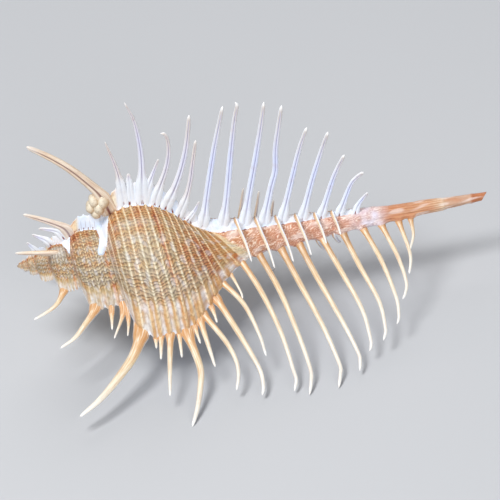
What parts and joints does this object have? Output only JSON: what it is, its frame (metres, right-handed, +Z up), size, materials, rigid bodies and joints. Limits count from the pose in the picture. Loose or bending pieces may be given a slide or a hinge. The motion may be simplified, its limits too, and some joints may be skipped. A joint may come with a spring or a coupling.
{
  "type": "murex shell",
  "caption": "Spiny sea snail shell: coiled whorls, long straight front canal, rows of long curved spines and an open aperture.",
  "frame": {"origin": "middle of the shell's outline on the surface it lies on", "axes": "+X from the pointed top of the coil towards the tip of the front canal, +Z up, the aperture facing down"},
  "size_m": [0.13, 0.0828, 0.0709],
  "materials": {
    "shell_tan": "satin, tan and orange-brown with cream and white spines"
  },
  "bodies": {
    "root": {"murex_shell": "shell_tan"}
  },
  "joints": []
}
